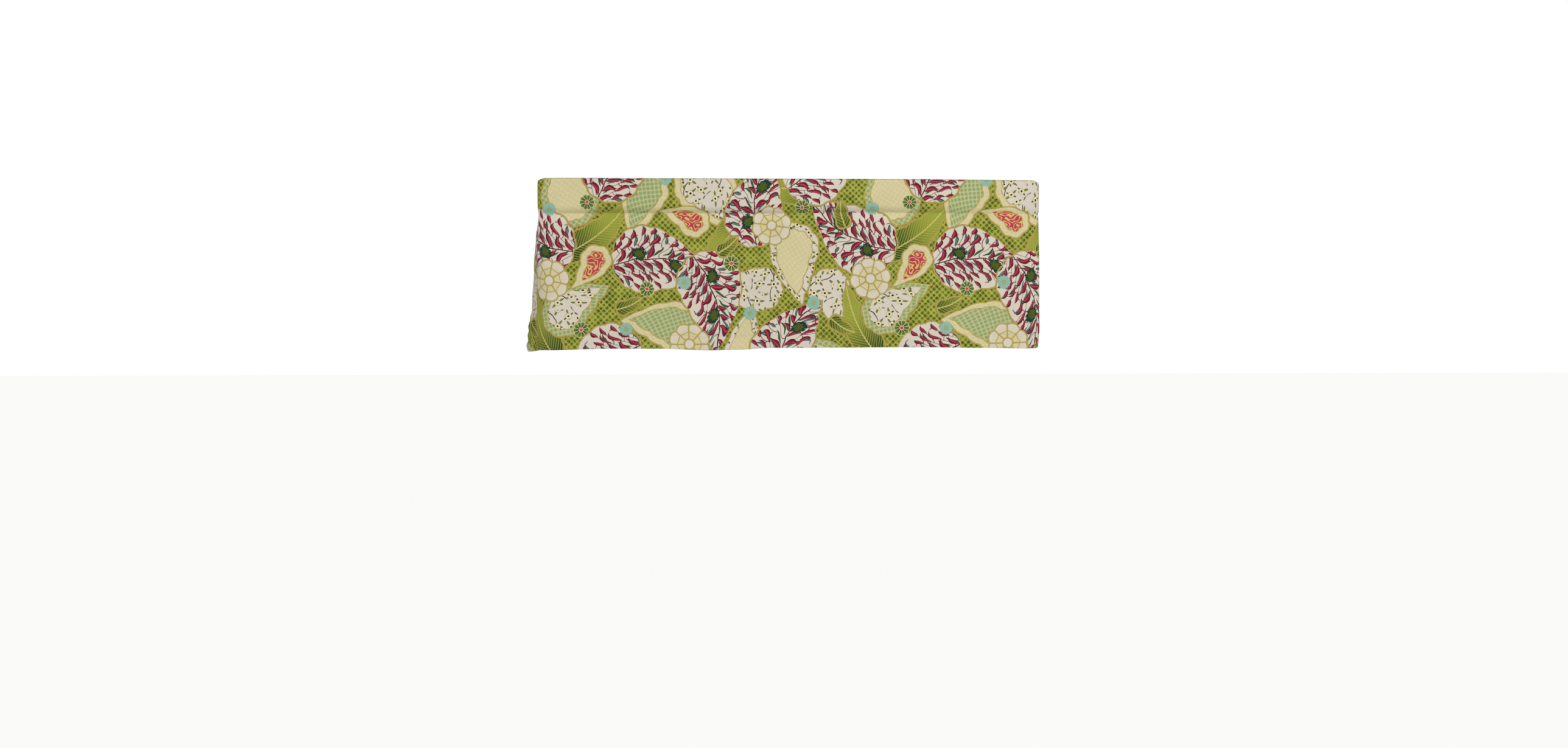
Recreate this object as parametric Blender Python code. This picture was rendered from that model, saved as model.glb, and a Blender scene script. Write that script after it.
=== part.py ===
"""Window valance: one printed cotton panel with a rod pocket along its top.

The panel's top is turned over to the back and sewn down, which leaves a flat, open-ended pocket for a
wide curtain rod. Below the seam the cloth hangs as a skirt. Both go round the rod's two corners and run
back to the wall as short returns. The left return swings out towards the hem, and the right one hangs
nearly straight. The pocket is kept as thin walls: a face, a fold over the rod, a back and the sewn seam,
each in a front stretch and two end ones that meet just before the rod turns.

Frame: metres, +X to the right along the front, the front faces -Y and the returns run to +Y, +Z is up.
The origin is the middle of the top edge, in the rod's own plane. A run is a distance along the cloth
from the middle of the front, negative to the left. A drop is a distance down the cloth.
"""

import math
from collections import namedtuple

import bmesh
import bpy

# Overall sizes
HALF_FRONT = 0.537  # from the middle of the front to each corner
RETURN_DEPTH = 0.090  # from the front face to each return's rear edge
DROP = 0.363  # from the top edge to the hem
CLOTH = 0.0012  # one layer of cloth
JOIN_GAP = 0.0003  # between solids that are one cloth

# Rod pocket
POCKET_DROP = 0.073  # from the top edge to the seam
POCKET_DEPTH = 0.0124  # front to back, over the cloth
POCKET_CORNER = 0.0182  # outer radius in plan
SEAM_DEPTH = 2 * CLOTH + JOIN_GAP  # the face and the back sewn flat
SEAM_TAPER = 0.015  # height over which the walls come in to the seam, faster and faster
POCKET_FULLNESS = 0.0004  # how far the middle of each wall stands out
FOLD_EDGE = 0.0015  # how far the fold's walls run straight down below its round
FOLD_SQUARE = 0.75  # 1 for a round fold, and less for a squarer one
JOIN_RUN = 0.513  # where the front stretch meets an end one, on the straight before the corner
JOIN_LEVEL = 0.004  # the top edge and the seam are level for this far beside a join

# Skirt
SKIRT_FORWARD = 0.4  # share of the seam's draw by which the skirt comes forward again
SKIRT_EASE = 0.024  # drop over which it does so
LEFT_CORNER = 0.060  # radius in plan at the hem, where the return hangs open
RIGHT_CORNER = 0.026
HEM_BAND = 0.032  # bottom hem, turned to the back
SIDE_BAND = 0.020  # side hems, turned to the back
HEM_LAYERS = 2.0

# Mesh divisions
FRONT_STEPS = 28
SKIRT_STEPS = 44
CORNER_STEPS = 6
SKIRT_CORNER_STEPS = 12
RETURN_STEPS = 4
SKIRT_ROWS = 13
TOP_FOLD_STEPS = 8
WALL_STEPS = 3
TAPER_STEPS = 4

PRINT_COLOUR = (0.62, 0.56, 0.30, 1.0)
CLOTH_ROUGHNESS = 0.85

HALF_POCKET = POCKET_DEPTH / 2
SKIRT_DROP = DROP - POCKET_DROP
CORNER_ARC = POCKET_CORNER * math.pi / 2
STRAIGHT_RUN = HALF_FRONT - POCKET_CORNER
HALF_RUN = STRAIGHT_RUN + CORNER_ARC + RETURN_DEPTH - POCKET_CORNER

Level = namedtuple("Level", "run rise")
Draw = namedtuple("Draw", "run depth")
Flare = namedtuple("Flare", "drop out")
Fold = namedtuple("Fold", "run width out start")

# How far the top edge, the seam and the hem lie above their even lines
TOP_LEVELS = (
    Level(-HALF_RUN, -0.004),
    Level(-0.540, -0.003),
    Level(-JOIN_RUN - JOIN_LEVEL, -0.0005),
    Level(-JOIN_RUN + JOIN_LEVEL, -0.0005),
    Level(-0.490, 0.0),
    Level(0.250, 0.0),
    Level(JOIN_RUN - JOIN_LEVEL, -0.0015),
    Level(JOIN_RUN + JOIN_LEVEL, -0.0015),
    Level(0.533, -0.0040),
    Level(0.545, -0.0060),
    Level(HALF_RUN, -0.005),
)
SEAM_LEVELS = (
    Level(-HALF_RUN, -0.003),
    Level(-JOIN_RUN - JOIN_LEVEL, -0.001),
    Level(-JOIN_RUN + JOIN_LEVEL, -0.001),
    Level(-0.300, 0.0),
    Level(0.030, 0.0),
    Level(0.140, 0.003),
    Level(0.300, 0.002),
    Level(JOIN_RUN - JOIN_LEVEL, 0.0005),
    Level(JOIN_RUN + JOIN_LEVEL, 0.0005),
    Level(HALF_RUN, 0.0),
)

# How far behind the pocket's face the seam is drawn in: least at the right, where it is slack
SEAM_DRAWS = (
    Draw(-HALF_RUN, 0.0012),
    Draw(-0.555, 0.0016),
    Draw(-JOIN_RUN - JOIN_LEVEL, 0.0040),
    Draw(-JOIN_RUN + JOIN_LEVEL, 0.0040),
    Draw(-0.430, 0.0062),
    Draw(0.150, 0.0062),
    Draw(0.330, 0.0038),
    Draw(JOIN_RUN - JOIN_LEVEL, 0.0026),
    Draw(JOIN_RUN + JOIN_LEVEL, 0.0026),
    Draw(0.560, 0.0006),
    Draw(HALF_RUN, 0.0006),
)
HEM_LEVELS = (
    Level(-HALF_RUN, -0.008),
    Level(-0.525, -0.002),
    Level(-0.390, 0.001),
    Level(-0.280, 0.001),
    Level(-0.170, -0.0025),
    Level(-0.110, -0.0015),
    Level(-0.040, 0.0025),
    Level(0.290, 0.0035),
    Level(0.410, 0.002),
    Level(0.515, 0.0005),
    Level(0.533, 0.001),
    Level(0.553, 0.003),
    Level(HALF_RUN, 0.002),
)

# How far the skirt's corners stand out past the rod's, by drop below the seam
LEFT_CORNERS = (
    Flare(0.000, 0.0),
    Flare(SKIRT_DROP, -0.003),
)
RIGHT_CORNERS = (
    Flare(0.000, 0.0),
    Flare(0.140, 0.0024),
    Flare(0.250, 0.0024),
    Flare(SKIRT_DROP, 0.0),
)

# How far each return's rear edge stands out past its corner
LEFT_FLARES = (
    Flare(0.000, 0.002),
    Flare(0.040, 0.0125),
    Flare(0.110, 0.0170),
    Flare(0.190, 0.0215),
    Flare(0.245, 0.0285),
    Flare(SKIRT_DROP, 0.0315),
)
RIGHT_FLARES = (
    Flare(0.000, 0.001),
    Flare(0.080, 0.005),
    Flare(SKIRT_DROP, 0.008),
)

# Soft folds in the skirt: ridges where out is positive and troughs where it is negative, full at the hem
FOLDS = (
    Fold(-0.570, 0.022, -0.0050, 0.040),
    Fold(-0.470, 0.060, 0.0030, 0.030),
    Fold(-0.355, 0.045, -0.0035, 0.090),
    Fold(-0.215, 0.055, 0.0050, 0.060),
    Fold(-0.080, 0.050, -0.0045, 0.110),
    Fold(0.060, 0.060, 0.0030, 0.080),
    Fold(0.205, 0.040, -0.0030, 0.130),
    Fold(0.330, 0.060, 0.0040, 0.070),
    Fold(0.455, 0.040, -0.0030, 0.100),
    Fold(0.575, 0.025, 0.0030, 0.050),
)


def ease(share):
    """0 to 1 with level ends."""
    share = min(max(share, 0.0), 1.0)
    return share * share * (3 - 2 * share)


def read_table(rows, place):
    """The second column at a place in the first, eased from row to row."""
    for low, high in zip(rows, rows[1:]):
        if place <= high[0]:
            share = (place - low[0]) / (high[0] - low[0])
            return low[1] + (high[1] - low[1]) * ease(share)
    return rows[-1][1]


def plan_point(run, corner_at, radius, flare):
    """Where a run along the cloth's outer face lies in plan, and the way that the face looks there."""
    side = math.copysign(1.0, run)
    run = abs(run)
    turn = math.pi / 2 - flare
    straight = corner_at - radius * math.tan(turn / 2)
    heading = min(max((run - straight) / radius, 0.0), turn)
    past = max(run - straight - radius * turn, 0.0)
    x = min(run, straight) + radius * math.sin(heading) + past * math.cos(turn)
    y = radius * (1 - math.cos(heading)) + past * math.sin(turn)
    return (side * x, y), (side * math.sin(heading), -math.cos(heading))


def place(run, depth, height, corner_at, radius, flare):
    """A point that lies depth behind the outer face."""
    (x, y), (across, along) = plan_point(run, corner_at, radius, flare)
    return (x - depth * across, y - depth * along - HALF_POCKET, height)


# Each wall of the pocket is a section of (depth, share of the pocket's height, part in the seam's draw).
def pocket_face():
    """The front wall, from the seam's taper up to the fold."""
    low = (SEAM_TAPER + JOIN_GAP) / POCKET_DROP
    high = 1 - (HALF_POCKET + FOLD_EDGE) / POCKET_DROP
    rows = []
    for step in range(WALL_STEPS + 1):
        share = step / WALL_STEPS
        rows.append((-POCKET_FULLNESS * math.sin(math.pi * share), low + (high - low) * share, 0.0))
    return rows


def pocket_back():
    """The rear wall, which mirrors the face, from the fold down to the taper."""
    return [(POCKET_DEPTH - depth, share, 0.0) for depth, share, _ in reversed(pocket_face())]


def pocket_seam():
    """The two walls' sewn bottoms: from the back's down to the seam and up again to the face's."""
    front, back = [], []
    for step in range(TAPER_STEPS + 1):
        share = step / TAPER_STEPS
        come_in = (1 - share) ** 2
        height = share * SEAM_TAPER / POCKET_DROP
        front.append((0.0, height, come_in))
        back.append((POCKET_DEPTH - (POCKET_DEPTH - SEAM_DEPTH) * come_in, height, come_in))
    return back[::-1] + front


def pocket_fold():
    """The fold over the rod, from the face to the back, with a straight edge at each side."""
    spring = 1 - HALF_POCKET / POCKET_DROP
    edge = spring - (FOLD_EDGE - JOIN_GAP) / POCKET_DROP
    rows = [(0.0, edge, 0.0)]
    for step in range(TOP_FOLD_STEPS + 1):
        angle = math.pi * step / TOP_FOLD_STEPS
        across = math.copysign(abs(math.cos(angle)) ** FOLD_SQUARE, math.cos(angle))
        up = max(math.sin(angle), 0.0) ** FOLD_SQUARE
        rows.append((HALF_POCKET * (1 - across), spring + (1 - spring) * up, 0.0))
    rows.append((POCKET_DEPTH, edge, 0.0))
    return rows


def pocket_place(run, depth, share, in_draw):
    seam = -POCKET_DROP + read_table(SEAM_LEVELS, run)
    top = read_table(TOP_LEVELS, run)
    depth += in_draw * read_table(SEAM_DRAWS, run)
    return place(run, depth, seam + (top - seam) * share, HALF_FRONT, POCKET_CORNER, 0.0)


def skirt_folds(run, drop):
    """How far the folds push the skirt forward."""
    out = 0.0
    for fold in FOLDS:
        growth = ease((drop - fold.start) / (SKIRT_DROP - fold.start))
        out += fold.out * growth * math.exp(-(((run - fold.run) / fold.width) ** 2))
    return out


def skirt_place(run, share):
    """A point on the skirt's outer face, from the seam (0) to the hem (1)."""
    seam = -POCKET_DROP + read_table(SEAM_LEVELS, run) - JOIN_GAP
    hem = -DROP + read_table(HEM_LEVELS, run)
    drop = SKIRT_DROP * share
    at_seam = read_table(SEAM_DRAWS, run)
    depth = at_seam * (1 - SKIRT_FORWARD * ease(drop / SKIRT_EASE)) - skirt_folds(run, drop)
    flares = LEFT_FLARES if run < 0 else RIGHT_FLARES
    corners = LEFT_CORNERS if run < 0 else RIGHT_CORNERS
    hem_corner = LEFT_CORNER if run < 0 else RIGHT_CORNER
    flare = math.asin(read_table(flares, drop) / (RETURN_DEPTH - POCKET_CORNER))
    radius = POCKET_CORNER + (hem_corner - POCKET_CORNER) * ease(share)
    corner_at = HALF_FRONT + read_table(corners, drop)
    return place(run, depth, seam + (hem - seam) * share, corner_at, radius, flare)


def spaced(start, end, steps):
    return [start + (end - start) * step / steps for step in range(steps)]


def skirt_runs():
    """The skirt's columns: closer together round the corners, and one at each side hem's edge."""
    bend = STRAIGHT_RUN - (LEFT_CORNER - POCKET_CORNER) / 2
    past = STRAIGHT_RUN + CORNER_ARC + (LEFT_CORNER - POCKET_CORNER) / 2
    side_hem = HALF_RUN - SIDE_BAND
    half = spaced(bend, past, SKIRT_CORNER_STEPS) + spaced(past, side_hem, RETURN_STEPS - 2)
    half += [side_hem, side_hem + CLOTH, HALF_RUN]
    return [-run for run in reversed(half)] + spaced(-bend, bend, SKIRT_STEPS)[1:] + half


def skirt_shares():
    """The skirt's rows: closer together below the seam, and one at the bottom hem's edge."""
    ease_end = SKIRT_EASE / SKIRT_DROP
    hem = 1 - HEM_BAND / SKIRT_DROP
    rows = spaced(0.0, ease_end, TAPER_STEPS) + spaced(ease_end, hem, SKIRT_ROWS - TAPER_STEPS)
    return rows + [hem, hem + CLOTH / SKIRT_DROP, (1 + hem) / 2, 1.0]


def sheet_object(name, columns, rows, point_at):
    """A grid whose vertices are placed by column and row, facing out of the cloth's printed side."""
    bm = bmesh.new()
    across, down = len(columns) - 1, len(rows) - 1
    bmesh.ops.create_grid(bm, x_segments=across, y_segments=down, size=0.5)
    for vertex in bm.verts:
        column = columns[round((vertex.co.x + 0.5) * across)]
        row = rows[round((vertex.co.y + 0.5) * down)]
        vertex.co = point_at(column, row)
    mesh = bpy.data.meshes.new(name)
    bmesh.ops.remove_doubles(bm, verts=bm.verts, dist=1e-6)
    bm.to_mesh(mesh)
    bm.free()
    mesh.shade_smooth()
    thing = bpy.data.objects.new(name, mesh)
    bpy.context.collection.objects.link(thing)
    return thing


def give_thickness(thing, layers=1.0):
    """Cloth of so many layers, measured in from the outer face."""
    solid = thing.modifiers.new("Cloth", "SOLIDIFY")
    solid.thickness = CLOTH * layers
    solid.offset = -1.0
    solid.use_even_offset = True
    return solid


def give_hems(thing):
    """Doubles the cloth along the bottom and both sides, and leaves one layer elsewhere."""
    solid = give_thickness(thing, HEM_LAYERS)
    band = thing.vertex_groups.new(name="layers")
    runs, shares = skirt_runs(), skirt_shares()
    hem = 1 - (HEM_BAND - CLOTH) / SKIRT_DROP
    side = HALF_RUN - SIDE_BAND + CLOTH
    for row, share in enumerate(shares):
        for column, run in enumerate(runs):
            doubled = share > hem - 1e-6 or abs(run) > side - 1e-6
            weight = 1.0 if doubled else 1 / HEM_LAYERS
            band.add([row * len(runs) + column], weight, "REPLACE")
    solid.vertex_group = band.name


def cloth_material():
    material = bpy.data.materials.new("printed_cotton")
    material.use_nodes = True
    shader = material.node_tree.nodes["Principled BSDF"]
    shader.inputs["Base Color"].default_value = PRINT_COLOUR
    shader.inputs["Roughness"].default_value = CLOTH_ROUGHNESS
    shader.inputs["Metallic"].default_value = 0.0
    return material


def make_wall(name, section, runs):
    """One wall of the pocket, along a stretch of it."""
    rows = list(range(len(section)))
    wall = sheet_object(name, runs, rows, lambda run, row: pocket_place(run, *section[row]))
    give_thickness(wall)
    return wall


def make_pocket():
    walls = (
        ("face", pocket_face()), ("fold", pocket_fold()), ("back", pocket_back()), ("seam", pocket_seam()),
    )
    stretches = (("front", front_runs()), ("left", return_runs(-1)), ("right", return_runs(1)))
    return [make_wall(f"{wall}_{end}", section, runs) for wall, section in walls for end, runs in stretches]


def make_skirt():
    thing = sheet_object("skirt", skirt_runs(), skirt_shares(), skirt_place)
    give_hems(thing)
    return thing


def front_runs():
    """The columns of the front's pocket, from join to join."""
    level = JOIN_RUN - JOIN_LEVEL
    return [-JOIN_RUN] + spaced(-level, level, FRONT_STEPS) + [level, JOIN_RUN]


def return_runs(side):
    """The columns of a return's pocket, from its join to its open rear end."""
    bend_end = STRAIGHT_RUN + CORNER_ARC
    runs = [JOIN_RUN + JOIN_GAP, JOIN_RUN + JOIN_LEVEL]
    runs += spaced(STRAIGHT_RUN, bend_end, CORNER_STEPS) + spaced(bend_end, HALF_RUN, RETURN_STEPS) + [HALF_RUN]
    return runs if side > 0 else [-run for run in reversed(runs)]


def main():
    for thing in list(bpy.data.objects):
        bpy.data.objects.remove(thing)
    cloth = cloth_material()
    for piece in make_pocket() + [make_skirt()]:
        piece.data.materials.append(cloth)


main()
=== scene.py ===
"""Window valance: the dressed scene.

One printed cotton panel hangs from a rod that isn't shown. Its sides are hemmed first, then its bottom, and
its top is turned over to the back and sewn down as a rod pocket, so wherever hems cross the cloth lies in
several layers. The panel is one sheet, folded row by row and column by column as it is sewn.

Frame: metres, +X to the right along the front, the front faces -Y and the returns run to +Y, +Z is up.
The origin is the middle of the top edge, in the rod's own plane. A run is a distance along the cloth
from the middle of the front, negative to the left. A drop is a distance down the cloth from the seam.
"""

import math
from collections import namedtuple

import bmesh
import bpy
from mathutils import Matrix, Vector, noise


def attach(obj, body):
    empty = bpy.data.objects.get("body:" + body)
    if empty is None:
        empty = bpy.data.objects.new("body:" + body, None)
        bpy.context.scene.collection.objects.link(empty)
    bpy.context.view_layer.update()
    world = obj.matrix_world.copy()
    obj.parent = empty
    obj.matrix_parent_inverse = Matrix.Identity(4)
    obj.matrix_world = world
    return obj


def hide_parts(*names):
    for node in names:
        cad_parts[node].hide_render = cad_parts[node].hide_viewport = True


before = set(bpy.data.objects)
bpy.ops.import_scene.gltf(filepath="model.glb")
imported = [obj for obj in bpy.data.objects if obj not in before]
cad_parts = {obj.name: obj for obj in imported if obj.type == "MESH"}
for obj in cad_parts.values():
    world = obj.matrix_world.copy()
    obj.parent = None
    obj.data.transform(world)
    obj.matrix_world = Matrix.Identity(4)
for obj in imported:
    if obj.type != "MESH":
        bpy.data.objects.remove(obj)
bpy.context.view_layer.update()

# ---------------------------------------------------------------- the valance's sizes
HALF_FRONT = 0.537  # from the middle of the front to each corner
RETURN_DEPTH = 0.090  # from the front face to each return's rear edge
DROP = 0.363  # from the top edge to the hem
POCKET_DROP = 0.073  # from the top edge to the seam
POCKET_DEPTH = 0.0124  # front to back, over the cloth
POCKET_CORNER = 0.0182  # outer radius in plan
SEAM_TAPER = 0.015  # height over which the pocket's walls come in to the seam
POCKET_FULLNESS = 0.0004  # how far the middle of the pocket's front stands out
FOLD_SQUARE = 0.75  # 1 for a round fold over the rod, and less for a squarer one
SKIRT_FORWARD = 0.4  # share of the seam's draw by which the skirt comes forward again
SKIRT_EASE = 0.024  # drop over which it does so
LEFT_CORNER = 0.060  # radius in plan at the hem, where the return hangs open
RIGHT_CORNER = 0.026
HEM_BAND = 0.032  # bottom hem, turned to the back
SIDE_BAND = 0.020  # side hems, turned to the back

HALF_POCKET = POCKET_DEPTH / 2
SKIRT_DROP = DROP - POCKET_DROP
CORNER_ARC = POCKET_CORNER * math.pi / 2
STRAIGHT_RUN = HALF_FRONT - POCKET_CORNER
HALF_RUN = STRAIGHT_RUN + CORNER_ARC + RETURN_DEPTH - POCKET_CORNER

# ---------------------------------------------------------------- how the cloth is folded and sewn
CLOTH = 0.0005  # the woven cotton's thickness
LAYER = 0.00055  # from one layer of a hem to the next
UNDER_START = 0.004  # a turned-under edge stops this far short of its fold
TUCK_DROP = 0.0025  # how far the pocket's back reaches below the seam
TUCK_RISE = 0.011  # its turned-under edge inside the pocket
TUCK_ROOM = 1.4  # the layers' spacing where the pocket's back slopes, over their spacing elsewhere
TUCK_OPENS = 0.0020  # rise above the seam over which that spacing is reached
CROSSING = 0.005  # run over which the layers build up beside a side hem
FLARE_FADE = 0.020  # height above the seam over which the return's swing dies out

Level = namedtuple("Level", "run rise")
Draw = namedtuple("Draw", "run depth")
Flare = namedtuple("Flare", "drop out")
Fold = namedtuple("Fold", "run width out start")

TOP_LEVELS = (
    Level(-HALF_RUN, -0.004),
    Level(-0.540, -0.003),
    Level(-0.517, -0.0005),
    Level(-0.509, -0.0005),
    Level(-0.490, 0.0),
    Level(0.250, 0.0),
    Level(0.509, -0.0015),
    Level(0.517, -0.0015),
    Level(0.533, -0.0040),
    Level(0.545, -0.0060),
    Level(HALF_RUN, -0.005),
)
SEAM_LEVELS = (
    Level(-HALF_RUN, -0.003),
    Level(-0.517, -0.001),
    Level(-0.300, 0.0),
    Level(0.030, 0.0),
    Level(0.140, 0.003),
    Level(0.300, 0.002),
    Level(0.517, 0.0005),
    Level(HALF_RUN, 0.0),
)
SEAM_DRAWS = (
    Draw(-HALF_RUN, 0.0012),
    Draw(-0.555, 0.0016),
    Draw(-0.517, 0.0040),
    Draw(-0.509, 0.0040),
    Draw(-0.430, 0.0062),
    Draw(0.150, 0.0062),
    Draw(0.330, 0.0038),
    Draw(0.509, 0.0026),
    Draw(0.517, 0.0026),
    Draw(0.560, 0.0006),
    Draw(HALF_RUN, 0.0006),
)
HEM_LEVELS = (
    Level(-HALF_RUN, -0.008),
    Level(-0.525, -0.002),
    Level(-0.390, 0.001),
    Level(-0.280, 0.001),
    Level(-0.170, -0.0025),
    Level(-0.110, -0.0015),
    Level(-0.040, 0.0025),
    Level(0.290, 0.0035),
    Level(0.410, 0.002),
    Level(0.515, 0.0005),
    Level(0.533, 0.001),
    Level(0.553, 0.003),
    Level(HALF_RUN, 0.002),
)
LEFT_CORNERS = (
    Flare(0.000, 0.0),
    Flare(SKIRT_DROP, -0.003),
)
RIGHT_CORNERS = (
    Flare(0.000, 0.0),
    Flare(0.140, 0.0024),
    Flare(0.250, 0.0024),
    Flare(SKIRT_DROP, 0.0),
)
LEFT_FLARES = (
    Flare(0.000, 0.002),
    Flare(0.040, 0.0125),
    Flare(0.110, 0.0170),
    Flare(0.190, 0.0215),
    Flare(0.245, 0.0285),
    Flare(SKIRT_DROP, 0.0315),
)
RIGHT_FLARES = (
    Flare(0.000, 0.001),
    Flare(0.080, 0.005),
    Flare(SKIRT_DROP, 0.008),
)
FOLDS = (
    Fold(-0.570, 0.022, -0.0050, 0.040),
    Fold(-0.470, 0.060, 0.0030, 0.030),
    Fold(-0.355, 0.045, -0.0035, 0.090),
    Fold(-0.215, 0.055, 0.0050, 0.060),
    Fold(-0.080, 0.050, -0.0045, 0.110),
    Fold(0.060, 0.060, 0.0030, 0.080),
    Fold(0.205, 0.040, -0.0030, 0.130),
    Fold(0.330, 0.060, 0.0040, 0.070),
    Fold(0.455, 0.040, -0.0030, 0.100),
    Fold(0.575, 0.025, 0.0030, 0.050),
)

# Unevenness of the hung cloth: how far it moves in and out, and over what distance
SOFT_RELIEF = 0.0009
SOFT_REACH = 0.110
FINE_RELIEF = 0.00022
FINE_REACH = 0.026
SEAM_PUCKER = 0.00045
SEAM_PUCKER_REACH = 0.018
SEAM_PUCKER_HEIGHT = 0.011
EDGE_PUCKER = 0.0016  # along the left return's rear edge
EDGE_PUCKER_PITCH = 0.021
EDGE_PUCKER_REACH = 0.024
EDGE_PUCKER_DROP = 0.150  # how far below the seam it starts
EDGE_PUCKER_WAVER = 2.5  # how much the soft swells shift it, in radians
SEWN_CALM = 0.35  # share of the unevenness that is left at the seam
SOFT_TALL = 0.7  # below 1, swells and creases are taller than they are wide
FINE_TALL = 0.6
SOFT_LAYER = 3.1  # where the noise is cut for each kind of unevenness
FINE_LAYER = 8.7
SEAM_LAYER = (1.3, 5.2)


def ease(share):
    """0 to 1 with level ends."""
    share = min(max(share, 0.0), 1.0)
    return share * share * (3 - 2 * share)


def read_table(rows, place):
    """The second column at a place in the first, eased from row to row."""
    for low, high in zip(rows, rows[1:]):
        if place <= high[0]:
            share = (place - low[0]) / (high[0] - low[0])
            return low[1] + (high[1] - low[1]) * ease(share)
    return rows[-1][1]


def spaced(start, end, steps):
    return [start + (end - start) * step / steps for step in range(steps)]


# ---------------------------------------------------------------- where the cloth hangs
def plan_point(run, corner_at, radius, flare):
    """Where a run along the cloth's face lies in plan, and the way that the face looks there."""
    side = math.copysign(1.0, run)
    run = abs(run)
    turn = math.pi / 2 - flare
    straight = corner_at - radius * math.tan(turn / 2)
    heading = min(max((run - straight) / radius, 0.0), turn)
    past = max(run - straight - radius * turn, 0.0)
    x = min(run, straight) + radius * math.sin(heading) + past * math.cos(turn)
    y = radius * (1 - math.cos(heading)) + past * math.sin(turn)
    return (side * x, y), (side * math.sin(heading), -math.cos(heading))


class Hang:
    """One run of the hanging cloth: its top edge, seam and hem, and how its layers build up at a side hem."""

    def __init__(self, run):
        self.run = run
        self.top = read_table(TOP_LEVELS, run)
        self.seam = -POCKET_DROP + read_table(SEAM_LEVELS, run)
        self.hem = -DROP + read_table(HEM_LEVELS, run)
        self.draw = read_table(SEAM_DRAWS, run)
        into_band = abs(run) - (HALF_RUN - SIDE_BAND) + CROSSING
        self.layers = 1 + 2 * ease(into_band / CROSSING)
        self.edge_radius = (2 * self.layers - 1) * LAYER / 2  # of a fold around a turned-under edge
        self.hem_radius = (3 * self.layers - 1) * LAYER / 2  # of the bottom edge around the whole hem

    def share(self, height):
        """How far a height lies down the skirt, from the seam (0) to the hem (1)."""
        return (self.seam - height) / (self.seam - self.hem)

    def folds(self, drop):
        """How far the skirt's folds bring it out."""
        out = 0.0
        for fold in FOLDS:
            growth = ease((drop - fold.start) / (SKIRT_DROP - fold.start))
            out += fold.out * growth * math.exp(-(((self.run - fold.run) / fold.width) ** 2))
        return out

    def relief(self, height):
        """The small unevenness of the cloth: soft swells, fine creases and puckers at the sewn lines."""
        drop = SKIRT_DROP * self.share(height)
        free = SEWN_CALM + (1 - SEWN_CALM) * ease(drop / SKIRT_EASE)
        soft = noise.noise(Vector((self.run / SOFT_REACH, height / SOFT_REACH * SOFT_TALL, SOFT_LAYER)))
        fine = noise.noise(Vector((self.run / FINE_REACH, height / FINE_REACH * FINE_TALL, FINE_LAYER)))
        seam = noise.noise(Vector((self.run / SEAM_PUCKER_REACH, *SEAM_LAYER)))
        seam *= math.exp(-(((height - self.seam) / SEAM_PUCKER_HEIGHT) ** 2))
        out = free * (SOFT_RELIEF * soft + FINE_RELIEF * fine) + SEAM_PUCKER * seam
        if self.run < 0:
            near = math.exp(-(HALF_RUN + self.run) / EDGE_PUCKER_REACH)
            wave = math.sin(2 * math.pi * drop / EDGE_PUCKER_PITCH + EDGE_PUCKER_WAVER * soft)
            growth = ease((drop - EDGE_PUCKER_DROP) / (SKIRT_DROP - EDGE_PUCKER_DROP))
            out += EDGE_PUCKER * near * wave * growth
        return out

    def come_in(self, height):
        """How much of the way to the seam the pocket's walls have come in: faster and faster, down to 1."""
        return max(1 - max(height - self.seam, 0.0) / SEAM_TAPER, 0.0) ** 2

    def front_depth(self, height):
        """How far the front layer lies behind the pocket's face."""
        drop = SKIRT_DROP * self.share(height)
        if drop > 0:
            depth = self.draw * (1 - SKIRT_FORWARD * ease(drop / SKIRT_EASE)) - self.folds(drop)
        else:
            above = (height - self.seam) / (self.top - HALF_POCKET - self.seam)
            depth = self.draw * self.come_in(height)
            depth -= POCKET_FULLNESS * math.sin(math.pi * min(above, 1.0))
        return depth - self.relief(height)

    def back_depth(self, height):
        """How far the pocket's back lies behind its face."""
        sewn = self.front_depth(min(height, self.seam)) + 2 * self.hem_radius
        return POCKET_DEPTH + (sewn - POCKET_DEPTH) * self.come_in(height)

    def point(self, depth, height):
        """The place in space of a spot at a depth behind the pocket's face."""
        share = min(max(self.share(height), 0.0), 1.0)
        flares = LEFT_FLARES if self.run < 0 else RIGHT_FLARES
        corners = LEFT_CORNERS if self.run < 0 else RIGHT_CORNERS
        hem_corner = LEFT_CORNER if self.run < 0 else RIGHT_CORNER
        swing = read_table(flares, SKIRT_DROP * share)
        swing *= 1 - ease((height - self.seam) / FLARE_FADE)
        flare = math.asin(swing / (RETURN_DEPTH - POCKET_CORNER))
        radius = POCKET_CORNER + (hem_corner - POCKET_CORNER) * ease(share)
        corner_at = HALF_FRONT + read_table(corners, SKIRT_DROP * share)
        (x, y), (across, along) = plan_point(self.run, corner_at, radius, flare)
        return Vector((x - depth * across, y - depth * along - HALF_POCKET, height))


# ---------------------------------------------------------------- the folded section, row by row
# Rows in each stretch. Up the skirt they lie 5 mm apart, and closer together beside the seam.
FOLD_ROWS = 5
SKIRT_ROWS = 50
SKIRT_EASE_ROWS = 11
POCKET_ROWS = 9
POCKET_BACK_ROWS = 8
TAPER_ROWS = 9
TOP_ROWS = 10
HEM_BACK_ROWS = 4
UNDER_ROWS = 3


# Each function gives (depth, height) of the outermost layer and the way in towards the other layers,
# for a share of the way along its stretch.
def hem_under(hang, share):
    """The turned-under edge inside the bottom hem, going up."""
    height = hang.hem + UNDER_START + (HEM_BAND - hang.edge_radius - UNDER_START) * share
    return hang.front_depth(height) + hang.layers * LAYER, height, (1.0, 0.0)


def hem_top(hang, share):
    """The hem's upper fold, from inside to the back."""
    angle = math.pi * share
    height = hang.hem + HEM_BAND - hang.edge_radius + hang.edge_radius * math.sin(angle)
    depth = hang.front_depth(height) + hang.layers * LAYER + hang.edge_radius * (1 - math.cos(angle))
    return depth, height, (math.cos(angle), -math.sin(angle))


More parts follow.
